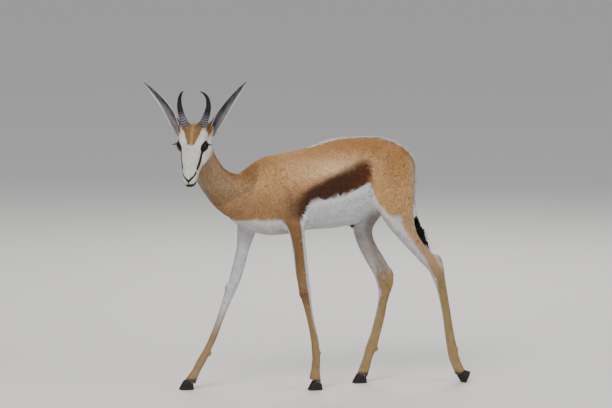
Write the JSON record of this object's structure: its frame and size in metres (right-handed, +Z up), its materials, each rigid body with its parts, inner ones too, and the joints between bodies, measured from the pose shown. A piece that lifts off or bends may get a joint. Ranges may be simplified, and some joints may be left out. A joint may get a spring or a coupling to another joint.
{
  "type": "springbok",
  "caption": "Life-size young springbok ram in mid-stride, head turned to its left, ears up, standing on the ground.",
  "frame": {"origin": "the middle of the footprint of the animal's box, at the level of its soles", "axes": "+Z up, the animal walks towards -X, its left side faces -Y"},
  "size_m": [1.0594, 0.2772, 0.9886],
  "materials": {
    "coat": "short smooth hair: cinnamon above, white below, a dark brown band between",
    "tuft": "white hair on the tail with a black tuft at its end",
    "hoof": "dark horn, dull with a faint sheen",
    "horn": "black horn, ringed below and smooth at the tip",
    "eye": "wet and glossy, near black"
  },
  "bodies": {
    "root": {"head": "coat", "neck": "coat", "torso": "coat", "leg_fore_left": "coat", "leg_fore_right": "coat", "leg_hind_left": "coat", "leg_hind_right": "coat", "ear_left": "coat", "ear_right": "coat", "tail": "tuft", "hoof_fore_left_outer": "hoof", "hoof_fore_left_inner": "hoof", "hoof_fore_right_outer": "hoof", "hoof_fore_right_inner": "hoof", "hoof_hind_left_outer": "hoof", "hoof_hind_left_inner": "hoof", "hoof_hind_right_outer": "hoof", "hoof_hind_right_inner": "hoof", "horn_left": "horn", "eye_left": "eye", "horn_right": "horn", "eye_right": "eye"}
  },
  "joints": []
}
